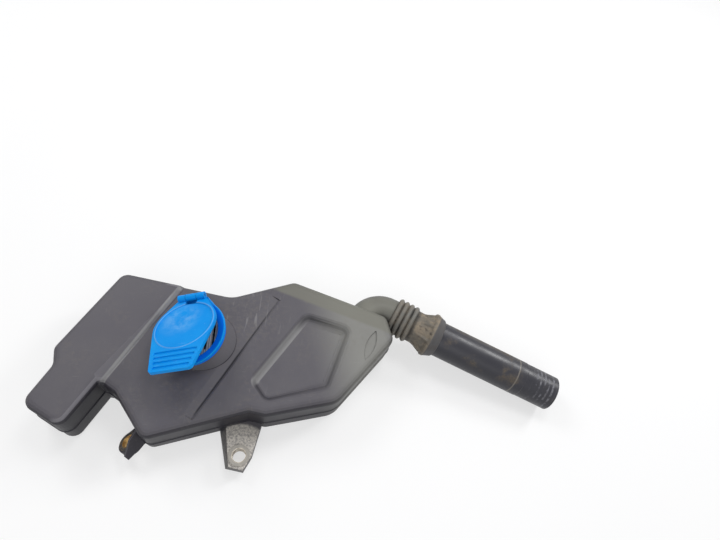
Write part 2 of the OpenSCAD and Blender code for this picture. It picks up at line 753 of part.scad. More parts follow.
// The sealing ring sits around the plug, and fine ribs run down its outside
module lid_seal() {
    outer_r = plug_r + seal_w;
    color("#77766f")
        at_lid() translate([0, -hinge_reach, lid_under - seal_h])
            difference() {
                linear_extrude(seal_h)
                    polygon([for (i = [0:2 * seal_ribs - 1])
                        let (a = 180 * i / seal_ribs)
                        (outer_r - (i % 2) * seal_rib_h) * [cos(a), sin(a)]]);
                translate([0, 0, -over]) cylinder(h = seal_h + 2 * over, r = plug_r + seal_gap);
            }
}

// Bellows: the convolutions start over the spigot, and a cuff with a bead holds the pipe
root_r = crest_r - fold_depth;
pipe_start = elbow_end + bellows_len * [cos(bellows_az), sin(bellows_az), 0];
lip_r = pipe_r + cuff_gap + lip_t;
fold_shape = [[0, 0], [0.18, 0.1], [0.34, 0.75], [0.5, 1], [0.66, 0.75], [0.82, 0.1]];

function fold_line(inset) = concat(
    [for (i = [0:fold_count - 1], s = fold_shape)
        [root_r + fold_depth * s[1] - inset, bellows_from + (i + s[0]) * fold_pitch]],
    [[root_r - inset, bellows_from + fold_count * fold_pitch]]);

module at_pipe() { translate(pipe_start) rotate([0, 90 + pipe_dip, pipe_az]) children(); }

// The cuff reaches back over the bellows, and its throat is narrower than both
cuff_back = 9;
cuff_edge = 0.8;
throat_step = 1.6;
throat_r = root_r - bellows_wall - throat_step;

module bellows() {
    inner_r = root_r - bellows_wall;
    inner_end = bellows_len - cuff_back;
    color("#4a443d")
        difference() {
            union() {
                at_elbow() rotate([0, 90, 0])
                    rotate_extrude()
                        polygon(concat([[0, bellows_from]], fold_line(0),
                                       [[root_r, bellows_len - cuff_back], [lip_r - cuff_edge, bellows_len],
                                        [0, bellows_len]]));
                at_pipe()
                    rotate_extrude()
                        polygon([[0, -cuff_back], [root_r + cuff_edge, -cuff_back],
                                 [bead_r - cuff_edge, bead_at - cuff_edge], [bead_r, bead_at],
                                 [bead_r, bead_at + bead_w],
                                 [bead_r - cuff_edge, bead_at + bead_w + cuff_edge],
                                 [lip_r, cuff_len - cuff_edge],
                                 [lip_r - cuff_edge, cuff_len], [0, cuff_len]]);
            }
            at_elbow() rotate([0, 90, 0]) {
                translate([0, 0, bellows_from - over])
                    cylinder(h = spigot_len - bellows_from + 2 * over, r = tube_r + spigot_gap);
                rotate_extrude()
                    polygon(concat([[0, spigot_len], [inner_r, spigot_len]],
                                   [for (p = fold_line(bellows_wall)) if (p[1] > spigot_len + 0.1) p],
                                   [[inner_r, inner_end], [0, inner_end]]));
            }
            at_pipe() {
                translate([0, 0, -cuff_back - 2 * over]) cylinder(h = cuff_back + 3 * over, r = throat_r);
                cylinder(h = cuff_len + over, r = pipe_r + cuff_gap);
            }
        }
}

// The pipe starts a little way past the cuff's inner shoulder
pipe_stop_gap = 0.5;
pipe_bevel = 0.8;

module down_pipe() {
    inner_r = pipe_r - pipe_wall;
    slim_r = pipe_r - pipe_end_step;
    step_at = pipe_len - pipe_end_len;
    color("#1d1d26")
        at_pipe()
            rotate_extrude()
                polygon([[inner_r, pipe_stop_gap], [pipe_r - pipe_bevel, pipe_stop_gap],
                         [pipe_r, pipe_stop_gap + pipe_bevel], [pipe_r, step_at],
                         [slim_r, step_at + pipe_bevel], [slim_r, pipe_len - pipe_bevel],
                         [slim_r - pipe_bevel, pipe_len], [inner_r, pipe_len]]);
}

tank_shell();
front_sleeve();
left_sleeve();
filler_strainer();
cap_base();
hinge_pin();
cap_lid();
lid_seal();
bellows();
down_pipe();
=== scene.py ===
import math

import bmesh
import bpy
from mathutils import Matrix, Vector


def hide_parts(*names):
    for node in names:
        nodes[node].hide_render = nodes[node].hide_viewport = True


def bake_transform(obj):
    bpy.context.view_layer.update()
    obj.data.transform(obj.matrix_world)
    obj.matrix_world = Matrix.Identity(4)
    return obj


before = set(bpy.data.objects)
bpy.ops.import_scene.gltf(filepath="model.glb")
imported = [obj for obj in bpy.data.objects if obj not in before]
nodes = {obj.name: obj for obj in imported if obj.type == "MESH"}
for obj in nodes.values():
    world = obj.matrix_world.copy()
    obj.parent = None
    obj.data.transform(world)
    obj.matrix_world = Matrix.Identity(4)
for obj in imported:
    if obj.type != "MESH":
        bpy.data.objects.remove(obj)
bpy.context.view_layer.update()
scene = bpy.context.scene
origin = (0.0, 0.0, 0.0)
upWay = (0.0, 0.0, 1.0)
rightWay = (1.0, 0.0, 0.0)
rising = (0.0, 1.0)
falling = (1.0, 0.0)
colourInputs = (6, 7)  # the two colours of a Mix node
colourOutput = 2
edgeSamples = 6
perMetre = 1000  # the boot is worked out in millimetres
print("frame loaded")


# Node helpers: a span is where a value begins and stops to change, its ends are what comes out there

def addNode(tree, kind, inputs=None, **settings):
    node = tree.nodes.new(kind)
    for key, value in settings.items():
        setattr(node, key, value)
    for key, value in (inputs or {}).items():
        node.inputs[key].default_value = value
    return node


def wire(tree, output, target):
    tree.links.new(output, target)


def newMaterial(name):
    material = bpy.data.materials.new(name)
    material.use_nodes = True
    return material, material.node_tree, material.node_tree.nodes["Principled BSDF"]


def objectPlace(tree):
    return addNode(tree, "ShaderNodeTexCoord").outputs["Object"]


def noiseField(tree, scale, detail=3.0, roughness=0.55, stretch=(1, 1, 1), turn=0.0):
    mapping = addNode(tree, "ShaderNodeMapping", {"Scale": stretch, "Rotation": (0, 0, turn)})
    noise = addNode(tree, "ShaderNodeTexNoise", {"Scale": scale, "Detail": detail, "Roughness": roughness})
    wire(tree, objectPlace(tree), mapping.inputs["Vector"])
    wire(tree, mapping.outputs["Vector"], noise.inputs["Vector"])
    return noise.outputs["Fac"]


def ramp(tree, value, span, ends=rising):
    inputs = {"From Min": span[0], "From Max": span[1], "To Min": ends[0], "To Max": ends[1]}
    node = addNode(tree, "ShaderNodeMapRange", inputs, interpolation_type="SMOOTHSTEP")
    wire(tree, value, node.inputs["Value"])
    return node.outputs["Result"]


def flip(tree, value):
    return ramp(tree, value, (0.0, 1.0), falling)


def band(tree, value, riseSpan, fallSpan):
    return times(tree, ramp(tree, value, riseSpan), ramp(tree, value, fallSpan, falling))


def combine(tree, operation, first, second):
    node = addNode(tree, "ShaderNodeMath", operation=operation, use_clamp=True)
    for slot, value in enumerate((first, second)):
        if isinstance(value, (int, float)):
            node.inputs[slot].default_value = value
        else:
            wire(tree, value, node.inputs[slot])
    return node.outputs["Value"]


def times(tree, first, *others):
    result = first
    for other in others:
        result = combine(tree, "MULTIPLY", result, other)
    return result


def most(tree, first, second):
    return combine(tree, "MAXIMUM", first, second)


def tint(tree, factor, first, second):
    node = addNode(tree, "ShaderNodeMix", data_type="RGBA")
    wire(tree, factor, node.inputs["Factor"])
    for slot, value in zip(colourInputs, (first, second)):
        if isinstance(value, tuple):
            node.inputs[slot].default_value = (*value, 1)
        else:
            wire(tree, value, node.inputs[slot])
    return node.outputs[colourOutput]


def upward(tree):
    geometry = addNode(tree, "ShaderNodeNewGeometry")
    split = addNode(tree, "ShaderNodeSeparateXYZ")
    wire(tree, geometry.outputs["Normal"], split.inputs["Vector"])
    return split.outputs["Z"]


def near(tree, centre, span):
    distance = addNode(tree, "ShaderNodeVectorMath", {1: centre}, operation="DISTANCE")
    wire(tree, objectPlace(tree), distance.inputs[0])
    return ramp(tree, distance.outputs["Value"], span, falling)


def offsetFrom(tree, point):
    offset = addNode(tree, "ShaderNodeVectorMath", {1: point}, operation="SUBTRACT")
    wire(tree, objectPlace(tree), offset.inputs[0])
    return offset.outputs["Vector"]


def alongLine(tree, start, way):
    dot = addNode(tree, "ShaderNodeVectorMath", {1: way}, operation="DOT_PRODUCT")
    wire(tree, offsetFrom(tree, start), dot.inputs[0])
    return dot.outputs["Value"]


def offLine(tree, start, way):
    size = addNode(tree, "ShaderNodeMath", operation="ABSOLUTE")
    wire(tree, alongLine(tree, start, way), size.inputs[0])
    return size.outputs["Value"]


def fromAxis(tree, point, axis):
    across = addNode(tree, "ShaderNodeVectorMath", {1: axis}, operation="CROSS_PRODUCT")
    length = addNode(tree, "ShaderNodeVectorMath", operation="LENGTH")
    wire(tree, offsetFrom(tree, point), across.inputs[0])
    wire(tree, across.outputs["Vector"], length.inputs[0])
    return length.outputs["Value"]


def grain(tree, shader, fields, softEdge=0.0):
    normal = None
    if softEdge:
        edge = addNode(tree, "ShaderNodeBevel", {"Radius": softEdge}, samples=edgeSamples)
        normal = edge.outputs["Normal"]
    for field, (strength, distance) in fields:
        bump = addNode(tree, "ShaderNodeBump", {"Strength": strength, "Distance": distance})
        wire(tree, field, bump.inputs["Height"])
        if normal is not None:
            wire(tree, normal, bump.inputs["Normal"])
        normal = bump.outputs["Normal"]
    wire(tree, normal, shader.inputs["Normal"])


# Moulded tank plastic: walls darker than the greyer dusty top as painted shade, a painted highlight along
# the step, painted light on the right end, rear slope and flanks, painted shade in the crease, scuffs beside
# the cap, a tan front lug
tankLook = {
    "wall": (0.016, 0.015, 0.021),
    "wallRight": (0.125, 0.124, 0.112),
    "top": (0.086, 0.081, 0.094),
    "topWorn": (0.102, 0.097, 0.108),
    "litTopRight": (0.205, 0.204, 0.191),
    "litRearSlope": (0.165, 0.163, 0.135),
    "raised": (0.170, 0.164, 0.180),
    "step": (0.27, 0.268, 0.268),
    "dust": (0.185, 0.170, 0.150),
    "scuff": (0.28, 0.275, 0.27),
    "creaseShade": (0.010, 0.010, 0.014),
    "lug": (0.64, 0.605, 0.55),
    "roughness": (0.40, 0.51), "roughSpan": (0.3, 0.7), "dustRough": 0.5,
    "specular": 0.24, "softEdge": 0.0012, "sharpAngle": 24,
    "broadNoise": (18, 4), "speckleNoise": (190, 5, 0.7), "patchNoise": (30, 3), "fineNoise": (1100, 2),
    "fineBump": (0.10, 0.0002), "broadBump": (0.22, 0.002),
    # painted shade: from the dark wall colour to the top colour, by how far a face looks up
    "levelFacing": (0.35, 0.97), "wornSpan": (0.35, 0.7), "deckTop": 0.0582,
    # painted light: a lighter right end, as if lit from the right, with less of it on the elbow
    "rightRun": (0.97, 0.24, 0.0), "rightSpan": (0.112, 0.172),
    "elbowRun": (0.94, 0.34, 0.0), "elbowSpan": (0.194, 0.204), "elbowShares": (1.0, 0.45),
    # painted light: a lighter olive tone on the slope along the rear edge, as if it faced the light
    "rearAt": (0.0926, 0.0650, 0.058), "rearWay": (0.319, 0.948, 0.0), "rearSpan": (-0.001, 0.003),
    "rearFrom": (0.070, 0.085), "litRearShare": 0.75,
    # painted light on the flanks of the neck and of the plateau's step, and a painted highlight along the
    # step's edge
    "neckAt": (0.016, 0.008, 0.068), "neckReach": (0.040, 0.046), "neckRise": (0.0, 0.001),
    "stepAt": (-0.0490, 0.0140, 0.058), "stepWay": (0.8779, -0.4789, 0.0),
    "flankHalf": (0.009, 0.016), "flankRise": (0.0, 0.0006), "flankFacing": (0.35, 0.6),
    "raisedFacing": (0.90, 0.99), "raisedShare": 0.85,
    "highlightHalf": (0.00154, 0.00286), "highlightFacing": (0.5, 0.8), "highlightSpan": (0.25, 0.6), "highlightShares": (0.5, 0.9),
    # painted shade as a dark line in the crease across the deck, and painted light on the lit side of the
    # sunk panel
    "crease": {"at": (0.009, -0.072, 0.058), "way": (0.8715, -0.4904, 0.0), "run": (0.4904, 0.8715, 0.0),
               "half": (0.0005, 0.0013), "share": 0.8, "start": (0.0, 0.012), "end": (0.150, 0.152),
               "fade": (0.105, 0.150), "fadeTo": 0.25},
    "panelSide": {"at": (0.0635, -0.0341, 0.055), "way": (0.827, -0.562, 0.0), "run": (0.562, 0.827, 0.0),
                  "half": (0.0020, 0.0048), "share": 0.80, "start": (-0.006, 0.008), "end": (0.090, 0.096),
                  "fade": (0.070, 0.090), "fadeTo": 0.2},
    "panelFacing": (0.995, 0.97),
    # dust all over, and grit and strokes beside the cap
    "dustSpeckle": (0.42, 0.74), "dustPatch": (0.40, 0.72), "dustFacing": (0.2, 0.9), "dustShare": 0.34,
    "scuffAt": (0.054, 0.040, 0.058), "scuffReach": (0.015, 0.055), "gritSpeckle": (0.40, 0.70),
    "gritShare": 0.30, "scratchShare": 0.14, "strokeShare": 0.36,
    "scratchNoise": (60, 2, 0.5, (1, 14, 1), 0.5), "scratchSpan": (0.69, 0.77),
    "crossNoise": (50, 2, 0.5, (16, 1, 1), 0.3), "crossSpan": (0.70, 0.78),
    "strokeNoise": (36, 3, 0.5, (7, 1, 1), -0.45), "strokeSpan": (0.60, 0.68),
    # caked dust on the front lug
    "lugAt": (0.0555, -0.0985, 0.019), "lugReach": (0.030, 0.034), "lugFacing": (0.4, 0.9),
    "lugShares": (0.15, 1.0), "lugNoise": (420, 4, 0.7), "lugSpeckle": (0.34, 0.60),
    "lugSpeckleShares": (0.30, 1.0),
}


def lineMark(tree, mark):
    beside = ramp(tree, offLine(tree, mark["at"], mark["way"]), mark["half"], (mark["share"], 0.0))
    run = alongLine(tree, mark["at"], mark["run"])
    fade = ramp(tree, run, mark["fade"], (1.0, mark["fadeTo"]))
    return times(tree, beside, band(tree, run, mark["start"], mark["end"]), fade)


# painted light and shade: walls darker than the top, a lighter right end, rear slope and flanks
def tankPlain(tree, facing, level, broad, fromStep):
    look = tankLook
    # painted light: the right end lighter, less of it on the elbow
    elbow = ramp(tree, alongLine(tree, origin, look["elbowRun"]), look["elbowSpan"], look["elbowShares"])
    rightLight = times(tree, ramp(tree, alongLine(tree, origin, look["rightRun"]), look["rightSpan"]), elbow)
    top = tint(tree, ramp(tree, broad, look["wornSpan"]), look["top"], look["topWorn"])
    top = tint(tree, rightLight, top, look["litTopRight"])
    # painted light: the rear slope lighter and olive
    rear = ramp(tree, alongLine(tree, look["rearAt"], look["rearWay"]), look["rearSpan"])
    rearEnd = ramp(tree, alongLine(tree, origin, rightWay), look["rearFrom"])
    top = tint(tree, times(tree, rear, rearEnd, look["litRearShare"]), top, look["litRearSlope"])
    # painted shade: the dark wall colour, with painted light at the right end
    wall = tint(tree, rightLight, look["wall"], look["wallRight"])
    height = alongLine(tree, (0.0, 0.0, look["deckTop"]), upWay)
    # painted light on the neck's flank and the step's flank
    onNeck = times(tree, near(tree, look["neckAt"], look["neckReach"]), ramp(tree, height, look["neckRise"]))
    onFlank = times(tree, ramp(tree, fromStep, look["flankHalf"], falling),
                    ramp(tree, height, look["flankRise"]), ramp(tree, facing, look["flankFacing"]))
    colour = tint(tree, most(tree, level, onFlank), wall, top)
    shade = ramp(tree, facing, look["raisedFacing"], (look["raisedShare"], 0.0))
    return tint(tree, times(tree, most(tree, onFlank, onNeck), shade), colour, look["raised"])


def tankScratches(tree, level, beside):
    look = tankLook
    scratches = ramp(tree, noiseField(tree, *look["scratchNoise"]), look["scratchSpan"])
    crossing = ramp(tree, noiseField(tree, *look["crossNoise"]), look["crossSpan"])
    strokes = ramp(tree, noiseField(tree, *look["strokeNoise"]), look["strokeSpan"])
    fine = times(tree, most(tree, scratches, crossing), look["scratchShare"])
    return times(tree, most(tree, fine, times(tree, strokes, beside, look["strokeShare"])), level)


def tankDust(tree, facing, level, speckle, patches, beside):
    look = tankLook
    dusty = times(tree, ramp(tree, speckle, look["dustSpeckle"]), ramp(tree, patches, look["dustPatch"]))
    dusty = times(tree, dusty, ramp(tree, facing, look["dustFacing"]), look["dustShare"])
    grit = times(tree, beside, level, ramp(tree, speckle, look["gritSpeckle"]), look["gritShare"])
    return most(tree, dusty, grit)


def makeTankMaterial():
    look = tankLook
    material, tree, shader = newMaterial("tankPlastic")
    facing = upward(tree)
    level = ramp(tree, facing, look["levelFacing"])
    broad = noiseField(tree, *look["broadNoise"])
    speckle = noiseField(tree, *look["speckleNoise"])
    patches = noiseField(tree, *look["patchNoise"])
    fromStep = offLine(tree, look["stepAt"], look["stepWay"])
    beside = near(tree, look["scuffAt"], look["scuffReach"])
    colour = tankPlain(tree, facing, level, broad, fromStep)
    # painted highlight along the step's edge
    stepHighlight = times(tree, ramp(tree, fromStep, look["highlightHalf"], falling),
                   ramp(tree, facing, look["highlightFacing"]),
                   ramp(tree, patches, look["highlightSpan"], look["highlightShares"]))
    colour = tint(tree, stepHighlight, colour, look["step"])
    dusty = tankDust(tree, facing, level, speckle, patches, beside)
    colour = tint(tree, tankScratches(tree, level, beside), colour, look["scuff"])
    colour = tint(tree, dusty, colour, look["dust"])
    # painted shade in the crease
    colour = tint(tree, lineMark(tree, look["crease"]), colour, look["creaseShade"])
    # painted light on the panel's slope
    lit = times(tree, lineMark(tree, look["panelSide"]), ramp(tree, facing, look["panelFacing"]))
    colour = tint(tree, lit, colour, look["step"])
    caked = ramp(tree, noiseField(tree, *look["lugNoise"]), look["lugSpeckle"], look["lugSpeckleShares"])
    onLug = times(tree, near(tree, look["lugAt"], look["lugReach"]),
                  ramp(tree, facing, look["lugFacing"], look["lugShares"]), caked)
    colour = tint(tree, onLug, colour, look["lug"])
    wire(tree, colour, shader.inputs["Base Color"])
    dirtRough = times(tree, most(tree, dusty, onLug), look["dustRough"])
    rough = combine(tree, "ADD", ramp(tree, broad, look["roughSpan"], look["roughness"]), dirtRough)
    wire(tree, rough, shader.inputs["Roughness"])
    shader.inputs["Specular IOR Level"].default_value = look["specular"]
    fine = noiseField(tree, *look["fineNoise"])
    grain(tree, shader, [(fine, look["fineBump"]), (broad, look["broadBump"])], look["softEdge"])
    return material


# Cap plastic: one clear blue, with a deeper blue inside the base as painted shade, a painted highlight round
# the lid's disc, faint clouding and rubbed marks
capLook = {
    "blue": (0.0, 0.265, 0.760),
    "pale": (0.003, 0.295, 0.785),
    "inside": (0.0, 0.190, 0.950),
    "rubAndHighlight": (0.17, 0.44, 0.80),
    "roughness": (0.37, 0.52), "roughSpan": (0.3, 0.7), "specular": 0.12, "softEdge": 0.0006,
    "cloudNoise": (30, 4), "cloudSpan": (0.40, 0.70), "fineNoise": (700, 2), "fineBump": (0.06, 0.0002),
    "markNoise": (90, 3, 0.6, (1, 5, 1), 0.8), "markSpan": (0.62, 0.74),
    "spotNoise": (420, 2), "spotSpan": (0.68, 0.76), "rubShare": 0.22,
    # painted highlight as a pale line around the lid's disc, and the milky patch on it
    "discMid": (-0.004756, 0.009219, 0.094962), "discWay": (-0.354223, 0.340966, 0.870786),
    "lineFrom": (0.0286, 0.0289), "lineTo": (0.0298, 0.0304), "lineShare": 0.55,
    "milkyAt": (-0.0099, 0.0172, 0.0898), "milkyReach": (0.006, 0.026), "milkyShare": 0.6,
    "milkyNoise": (70, 5, 0.65), "milkySpan": (0.34, 0.62),
    # painted shade as a deeper blue inside of the base, without its hinge knuckle
    "rimMid": (0.001005, 0.0076, 0.079918), "neckWay": (-0.350207, 0.0, 0.936672),
    "insideSpan": (0.0328, 0.0335), "hinge": (-0.003497, 0.043489, 0.083893), "hingeReach": (0.008, 0.012),
}


def lidMarks(tree, body):
    look = capLook
    # painted highlight: a pale line round the disc's edge
    line = band(tree, fromAxis(tree, look["discMid"], look["discWay"]), look["lineFrom"], look["lineTo"])
    body = tint(tree, times(tree, line, look["lineShare"]), body, look["rubAndHighlight"])
    cloudy = ramp(tree, noiseField(tree, *look["milkyNoise"]), look["milkySpan"])
    milky = times(tree, near(tree, look["milkyAt"], look["milkyReach"]), cloudy, look["milkyShare"])
    return tint(tree, milky, body, look["rubAndHighlight"])


def baseInsideShade(tree, body):
    look = capLook
    # painted shade: deeper blue inside the base
    inside = ramp(tree, fromAxis(tree, look["rimMid"], look["neckWay"]), look["insideSpan"], falling)
    inside = times(tree, inside, flip(tree, near(tree, look["hinge"], look["hingeReach"])))
    return tint(tree, inside, body, look["inside"])


def makeCapMaterial(name, addMarks):
    look = capLook
    material, tree, shader = newMaterial(name)
    cloud = noiseField(tree, *look["cloudNoise"])
    body = tint(tree, ramp(tree, cloud, look["cloudSpan"]), look["blue"], look["pale"])
    marks = ramp(tree, noiseField(tree, *look["markNoise"]), look["markSpan"])
    spots = ramp(tree, noiseField(tree, *look["spotNoise"]), look["spotSpan"])
    body = tint(tree, times(tree, most(tree, marks, spots), look["rubShare"]), body, look["rubAndHighlight"])
    wire(tree, addMarks(tree, body), shader.inputs["Base Color"])
    wire(tree, ramp(tree, cloud, look["roughSpan"], look["roughness"]), shader.inputs["Roughness"])
    shader.inputs["Specular IOR Level"].default_value = look["specular"]
    grain(tree, shader, [(noiseField(tree, *look["fineNoise"]), look["fineBump"])], look["softEdge"])
    return material


# Strainer plastic: fine lines across the basket; the pale plastic colour is painted light on a strip that
# lies in shade
strainerLook = {
    "plastic": (0.82, 0.81, 0.78),
    "shade": (0.34, 0.34, 0.34),
    "waveScale": 145.16129, "waveBend": 0.3, "roughness": 0.55, "bump": (0.5, 0.0005),
}


def makeStrainerMaterial():
    look = strainerLook
    material, tree, shader = newMaterial("strainerPlastic")
    wave = addNode(tree, "ShaderNodeTexWave", {"Scale": look["waveScale"], "Distortion": look["waveBend"]},
                   wave_type="BANDS", bands_direction="X")
    wire(tree, objectPlace(tree), wave.inputs["Vector"])
    lines = wave.outputs["Fac"]
    # painted light: the pale plastic colour stands in for light on the strip
    wire(tree, tint(tree, lines, look["shade"], look["plastic"]), shader.inputs["Base Color"])
    shader.inputs["Roughness"].default_value = look["roughness"]
    grain(tree, shader, [(lines, look["bump"])])
    return material


# Plated steel of the sleeves and the pin: clean inside the bore, dusty on the flange
steelLook = {
    "front": {"bright": (0.55, 0.50, 0.42), "dull": (0.30, 0.25, 0.19), "roughness": (0.34, 0.57),
              "axis": ((0.0555, -0.0975, 0.019), (0.0, 0.0, 1.0)), "dust": (0.38, 0.36, 0.325)},
    "left": {"bright": (0.66, 0.44, 0.17), "dull": (0.36, 0.21, 0.08), "roughness": (0.30, 0.53),
             "axis": ((-0.0512, -0.0874, 0.020), (-0.501846, 0.332160, 0.798636)),
             "dust": (0.060, 0.056, 0.054)},
    "pin": {"bright": (0.55, 0.56, 0.58), "dull": (0.36, 0.36, 0.37), "roughness": (0.22, 0.45)},
    "metal": 0.9, "dustMetal": 0.15, "dustRough": 0.8, "softEdge": 0.0003,
    "stainNoise": (260, 4, 0.65), "stainSpan": (0.38, 0.68), "roughSpan": (0.3, 0.7),
    "boreSpan": (0.0069, 0.0075), "cakedSpan": (0.25, 0.55), "cakedShares": (0.75, 1.0),
    "fineNoise": (1500, 2), "fineBump": (0.10, 0.0002),
}


def makeSteelMaterial(name, piece):
    look = steelLook
    finish = look[piece]
    material, tree, shader = newMaterial(name)
    stain = noiseField(tree, *look["stainNoise"])
    colour = tint(tree, ramp(tree, stain, look["stainSpan"]), finish["bright"], finish["dull"])
    rough = ramp(tree, stain, look["roughSpan"], finish["roughness"])
    shader.inputs["Metallic"].default_value = look["metal"]
    if "dust" in finish:
        flange = ramp(tree, fromAxis(tree, *finish["axis"]), look["boreSpan"])
        caked = times(tree, flange, ramp(tree, stain, look["cakedSpan"], look["cakedShares"]))
        colour = tint(tree, caked, colour, finish["dust"])
        rough = most(tree, rough, times(tree, caked, look["dustRough"]))
        metal = ramp(tree, caked, (0.0, 1.0), (look["metal"], look["dustMetal"]))
        wire(tree, metal, shader.inputs["Metallic"])
    wire(tree, colour, shader.inputs["Base Color"])
    wire(tree, rough, shader.inputs["Roughness"])
    grain(tree, shader, [(noiseField(tree, *look["fineNoise"]), look["fineBump"])], look["softEdge"])
    return material


# Ribbed ring of the lid
sealLook = {
    "ring": (0.24, 0.235, 0.22),
    "dust": (0.36, 0.35, 0.32),
    "roughness": (0.5, 0.7), "roughSpan": (0.3, 0.7),
    "speckNoise": (420, 3, 0.6), "dustSpan": (0.35, 0.65), "bump": (0.15, 0.0003),
}


def makeSealMaterial():
    look = sealLook
    material, tree, shader = newMaterial("sealRubber")
    specks = noiseField(tree, *look["speckNoise"])
    colour = tint(tree, ramp(tree, specks, look["dustSpan"]), look["ring"], look["dust"])
    wire(tree, colour, shader.inputs["Base Color"])
    wire(tree, ramp(tree, specks, look["roughSpan"], look["roughness"]), shader.inputs["Roughness"])
    grain(tree, shader, [(specks, look["bump"])])
    return material


# Rubber of the boot: grey crests and dark valleys as painted shade between folds, a brown dusty cuff and a
# plain lip
rubberLook = {
    "valleyShade": (0.009, 0.0085, 0.008),
    "crest": (0.140, 0.135, 0.122),
    "cuff": (0.120, 0.108, 0.090),
    "lip": (0.070, 0.070, 0.076),
    "dust": (0.280, 0.230, 0.170),
    "soil": (0.024, 0.020, 0.016),
    "roughness": (0.52, 0.9), "specular": 0.35,
    "foldSpan": (0.0192, 0.0214), "cuffSpan": (0.030, 0.034), "lipSpan": (0.0535, 0.055), "lipShare": 0.85,
    "patchNoise": (70, 5, 0.65), "patchSpan": (0.36, 0.64), "patchBump": (0.25, 0.001),
    "speckNoise": (420, 3, 0.6), "speckSpan": (0.32, 0.60), "speckShares": (0.55, 1.0),
    "speckBump": (0.2, 0.0004),
    "dustShares": (0.35, 0.85), "soilNoise": (130, 4, 0.6), "soilSpan": (0.58, 0.68), "soilShare": 0.7,
}


def makeRubberMaterial(start, heading):
    look = rubberLook
    material, tree, shader = newMaterial("bootRubber")
    patches = noiseField(tree, *look["patchNoise"])
    specks = noiseField(tree, *look["speckNoise"])
    along = alongLine(tree, start, heading)
    crests = ramp(tree, fromAxis(tree, start, heading), look["foldSpan"])
    onCuff = ramp(tree, along, look["cuffSpan"])
    onLip = ramp(tree, along, look["lipSpan"])
    # painted shade: near-black valleys between the folds
    body = tint(tree, onCuff, tint(tree, crests, look["valleyShade"], look["crest"]), look["cuff"])
    dirt = times(tree, ramp(tree, patches, look["patchSpan"]),
                 ramp(tree, specks, look["speckSpan"], look["speckShares"]),
                 ramp(tree, onCuff, (0.0, 1.0), look["dustShares"]))
    body = tint(tree, dirt, body, look["dust"])
    soil = ramp(tree, noiseField(tree, *look["soilNoise"]), look["soilSpan"])
    body = tint(tree, times(tree, soil, onCuff, look["soilShare"]), body, look["soil"])
    body = tint(tree, times(tree, onLip, look["lipShare"]), body, look["lip"])
    wire(tree, body, shader.inputs["Base Color"])
    wire(tree, ramp(tree, dirt, (0.0, 1.0), look["roughness"]), shader.inputs["Roughness"])
    shader.inputs["Specular IOR Level"].default_value = look["specular"]
    grain(tree, shader, [(patches, look["patchBump"]), (specks, look["speckBump"])])
    return material


# Pipe: smooth blue-black, dusty on top and behind, pale scuffed rings near its end
pipeLook = {
    "plastic": (0.019, 0.0187, 0.026),
    "dust": (0.125, 0.100, 0.070),
    "scuff": (0.30, 0.30, 0.33),
    "edge": (0.26, 0.235, 0.20),
    "start": (0.251476, 0.040102, 0.037), "direction": (0.924683, -0.366108, -0.104528),
    "roughness": (0.33, 0.46), "roughSpan": (0.3, 0.7), "dustRough": 0.5, "specular": 0.45,
    # dust on top, a film along the back, less of both on the slimmer end
    "patchNoise": (48, 4, 0.6), "patchSpan": (0.50, 0.72), "dustFacing": (0.1, 0.8),
    "speckNoise": (500, 3, 0.6), "speckSpan": (0.35, 0.65), "speckShares": (0.4, 1.0),
    "backWay": (0.3681, 0.9298, 0.0), "backSpan": (0.008, 0.018),
    "filmNoise": (60, 4, 0.65), "filmSpan": (0.34, 0.60),
    "filmSpecks": (0.35, 0.60), "filmShares": (0.5, 1.0),
    "endSpan": (0.110, 0.120), "endShares": (0.85, 0.20),
    # scuffed rings, and the line where the pipe gets slimmer
    "wave": {"Scale": 62.0, "Distortion": 1.2, "Detail": 2.0, "Detail Scale": 2.0}, "waveSpan": (0.45, 0.9),
    "scuffFrom": (0.128, 0.134), "scuffTo": (0.156, 0.160),
    "scuffNoise": (120, 3), "scuffSpan": (0.42, 0.62), "scuffShares": (0.0, 0.5),
    "edgeFrom": (0.1109, 0.1115), "edgeTo": (0.1123, 0.1129), "edgeShare": 0.5,
    "bendNoise": (40, 2), "bendBump": (0.10, 0.001), "speckBump": (0.05, 0.0002),
}


def pipeDust(tree, along, patches, specks):
    look = pipeLook
    dusty = times(tree, ramp(tree, patches, look["patchSpan"]),
                  ramp(tree, specks, look["speckSpan"], look["speckShares"]),
                  ramp(tree, upward(tree), look["dustFacing"]))
    film = times(tree, ramp(tree, alongLine(tree, look["start"], look["backWay"]), look["backSpan"]),
                 ramp(tree, noiseField(tree, *look["filmNoise"]), look["filmSpan"]),
                 ramp(tree, specks, look["filmSpecks"], look["filmShares"]))
    return times(tree, most(tree, dusty, film), ramp(tree, along, look["endSpan"], look["endShares"]))


def pipeScuffs(tree, along):
    look = pipeLook
    rings = addNode(tree, "ShaderNodeTexWave", look["wave"], wave_type="BANDS", bands_direction="X")
    line = addNode(tree, "ShaderNodeCombineXYZ")
    wire(tree, along, line.inputs["X"])
    wire(tree, line.outputs["Vector"], rings.inputs["Vector"])
    worn = ramp(tree, noiseField(tree, *look["scuffNoise"]), look["scuffSpan"], look["scuffShares"])
    where = band(tree, along, look["scuffFrom"], look["scuffTo"])
    return times(tree, ramp(tree, rings.outputs["Fac"], look["waveSpan"]), where, worn)


